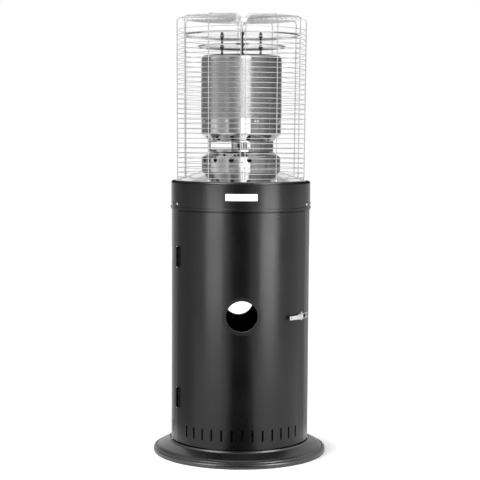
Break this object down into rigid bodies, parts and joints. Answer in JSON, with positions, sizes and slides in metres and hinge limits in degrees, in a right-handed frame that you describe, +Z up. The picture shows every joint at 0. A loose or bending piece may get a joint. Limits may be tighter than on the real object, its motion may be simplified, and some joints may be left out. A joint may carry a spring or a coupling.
{
  "type": "patio heater",
  "caption": "Upright round gas patio heater with a black cylinder housing and hinged front door, and a stainless burner with an emitter under twin reflector discs in a wire guard.",
  "frame": {"origin": "middle of the base on the ground", "axes": "+Z up; the door and its hand hole face -Y; the doorway's hinge side is at -X and the latch side at +X"},
  "size_m": [0.544, 0.544, 1.3631],
  "materials": {
    "body_paint": "satin black powder coat",
    "base_paint": "gloss black paint on pressed steel",
    "hinge_black": "black hinge steel",
    "collar_grey": "grey trim ring",
    "stainless": "polished stainless sheet",
    "emitter_mesh": "finely perforated stainless sheet",
    "bright_disc": "mirror polished stainless sheet",
    "chrome_wire": "chromed wire",
    "latch_chrome": "chromed latch steel",
    "zinc": "zinc plated screws and pins",
    "rod_dark": "dark steel rods",
    "galvanised": "plain zinc coated sheet",
    "brass": "machined brass",
    "knob_plastic": "black moulded knob",
    "switch_plastic": "black moulded switch box",
    "ceramic": "white glazed electrode"
  },
  "bodies": {
    "heater": {"base_pan": "base_paint", "cylinder_floor": "galvanised", "housing_shell": "body_paint", "foot_ring": "body_paint", "head_ring": "body_paint", "rear_hole_collar": "collar_grey", "hinge_upper_frame_leaf": "hinge_black", "hinge_upper_pin": "zinc", "hinge_lower_frame_leaf": "hinge_black", "hinge_lower_pin": "zinc", "latch_keeper": "latch_chrome", "control_band": "body_paint", "bulkhead": "galvanised", "top_plate": "stainless", "lower_drum": "stainless", "neck_ring": "stainless", "burner_cup": "stainless", "access_cover": "stainless", "emitter_screen": "emitter_mesh", "emitter_cap": "stainless", "reflector_rods": "rod_dark", "lower_reflector": "bright_disc", "upper_reflector": "bright_disc", "burner_dish": "stainless", "venturi_tube": "galvanised", "burner_head": "stainless", "gas_injector": "brass", "injector_bridge": "galvanised", "pilot_bracket": "galvanised", "pilot_burner": "brass", "igniter_electrode": "ceramic", "knob_bezel": "galvanised", "gas_valve": "brass", "valve_bracket": "galvanised", "gas_pipe": "brass", "gas_inlet": "brass", "tilt_switch": "switch_plastic", "guard_left": "chrome_wire", "guard_right": "chrome_wire", "guard_clips": "rod_dark", "guard_feet": "zinc"},
    "door": {"front_door": "body_paint", "door_foot_strip": "body_paint", "door_head_strip": "body_paint", "door_hole_collar": "collar_grey", "hinge_upper_door_leaf": "hinge_black", "hinge_lower_door_leaf": "hinge_black", "latch_base": "latch_chrome", "latch_pin": "latch_chrome"},
    "latch_lever": {"latch_lever": "latch_chrome"},
    "latch_bail": {"latch_bail": "latch_chrome"},
    "valve_stem": {"valve_stem": "zinc"},
    "control_knob": {"control_knob": "knob_plastic"}
  },
  "joints": [
    {"name": "door_hinge", "type": "hinge", "parent": "heater", "child": "door", "pos_m": [-0.19733, -0.09839, 0.453], "axis": [0, 0, -1], "range_deg": [0, 110]},
    {"name": "latch_lever_hinge", "type": "hinge", "parent": "door", "child": "latch_lever", "pos_m": [0.18816, -0.11987, 0.443], "axis": [0, 0, 1], "range_deg": [0, 115]},
    {"name": "latch_bail_hinge", "type": "hinge", "parent": "latch_lever", "child": "latch_bail", "pos_m": [0.17642, -0.13294, 0.443], "axis": [0, 0, -1], "range_deg": [0, 115]},
    {"name": "knob_push", "type": "slide", "parent": "heater", "child": "valve_stem", "axis": [0, -1, 0], "range_m": [0, 0.004], "stiffness_N_per_m": 900},
    {"name": "knob_turn", "type": "hinge", "parent": "valve_stem", "child": "control_knob", "pos_m": [0, 0.2245, 0.808], "axis": [0, 1, 0], "range_deg": [0, 180]}
  ],
  "couplings": [
    {"joint": "latch_bail_hinge", "follows": "latch_lever_hinge", "ratio": 1}
  ]
}
